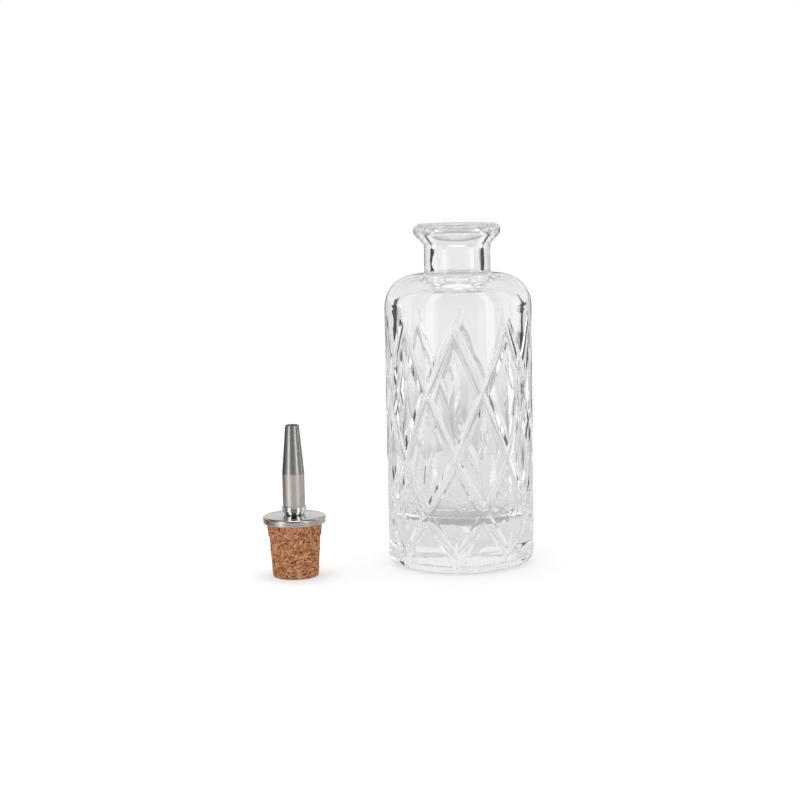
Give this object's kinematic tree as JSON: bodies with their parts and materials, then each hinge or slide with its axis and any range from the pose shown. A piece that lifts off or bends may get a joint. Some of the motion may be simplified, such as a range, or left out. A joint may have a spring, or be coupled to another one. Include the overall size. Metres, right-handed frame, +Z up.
{
  "type": "bitters bottle",
  "caption": "Round cut-glass bitters bottle with flared lip, and a cork dasher stopper with a steel disc and tapered spout standing beside it.",
  "frame": {"origin": "centre of the bottle's foot, on the surface that the bottle and the stopper stand on", "axes": "+Z up along the bottle's axis; +X to the right as seen from the front; the stopper stands to the left and a little in front"},
  "size_m": [0.1044, 0.0608, 0.132],
  "materials": {
    "clear_glass": "fire-polished, clear",
    "agglomerated_cork": "turned, uncoated",
    "polished_steel": "polished",
    "satin_steel": "satin, turned",
    "black_insert": "moulded"
  },
  "bodies": {
    "bottle": {"glass_bottle": "clear_glass"},
    "stopper": {"cork": "agglomerated_cork", "cap_disc": "polished_steel", "collar": "polished_steel", "spout_tube": "satin_steel", "stem_tube": "satin_steel", "dash_insert": "black_insert"}
  },
  "joints": [
    {"name": "stopper_lift", "type": "slide", "parent": "bottle", "child": "stopper", "axis": [0, 0, 1], "range_m": [0, 0.14]}
  ]
}
